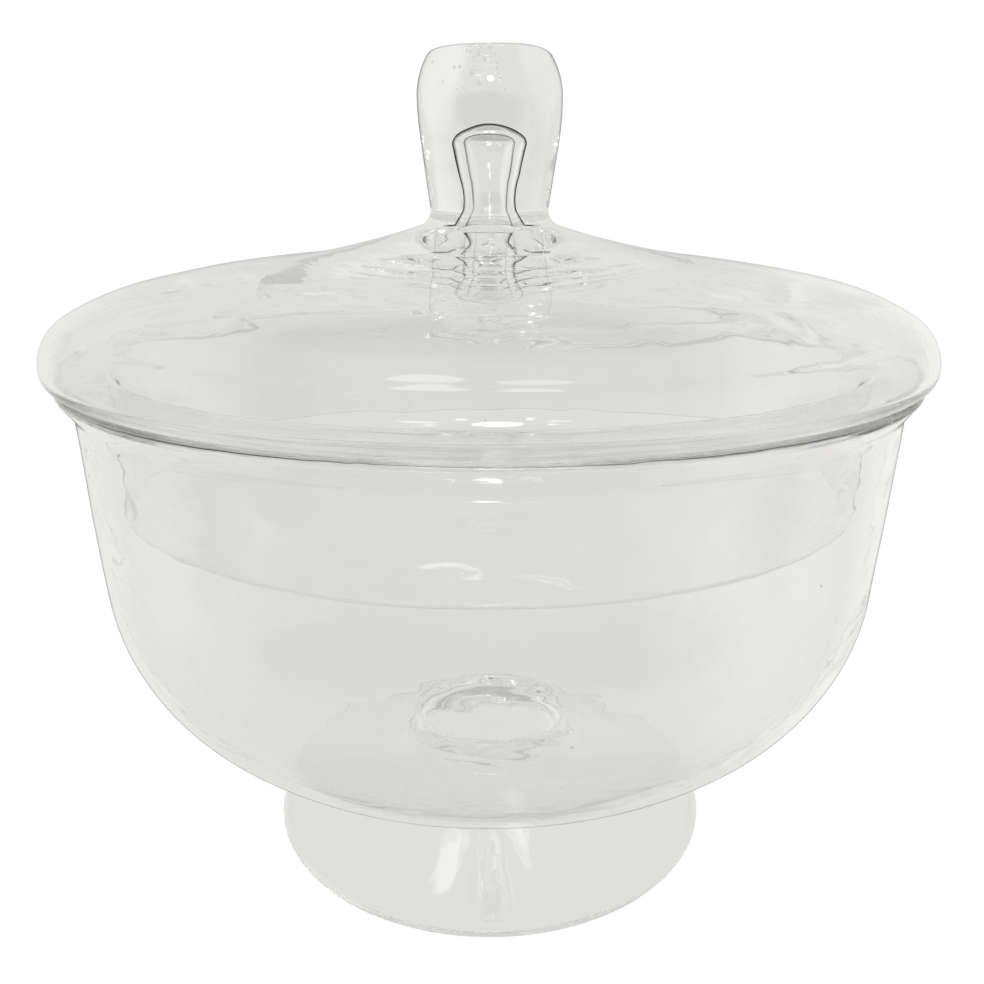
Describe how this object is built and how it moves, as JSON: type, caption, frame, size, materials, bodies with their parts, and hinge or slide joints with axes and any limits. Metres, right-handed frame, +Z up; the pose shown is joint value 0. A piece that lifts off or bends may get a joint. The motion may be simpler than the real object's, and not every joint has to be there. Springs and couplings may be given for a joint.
{
  "type": "glass desiccator",
  "caption": "Clear glass desiccator: a footed, round-bottomed bowl with a flared lip and a loose domed lid with a sleeve and a tall glass knob.",
  "frame": {"origin": "centre of the circle that the foot stands on, on the axis of symmetry", "axes": "+Z up along the axis of symmetry, towards the knob; X and Y are alike"},
  "size_m": [0.2398, 0.2398, 0.2291],
  "materials": {
    "clear_glass": "clear, fire-polished"
  },
  "bodies": {
    "vessel": {"bowl": "clear_glass", "stem": "clear_glass", "foot": "clear_glass"},
    "lid": {"lid_crown": "clear_glass", "lid_sleeve": "clear_glass", "knob": "clear_glass"}
  },
  "joints": [
    {"name": "lid_lift", "type": "slide", "parent": "vessel", "child": "lid", "axis": [0, 0, 1], "range_m": [0, 0.08]}
  ]
}
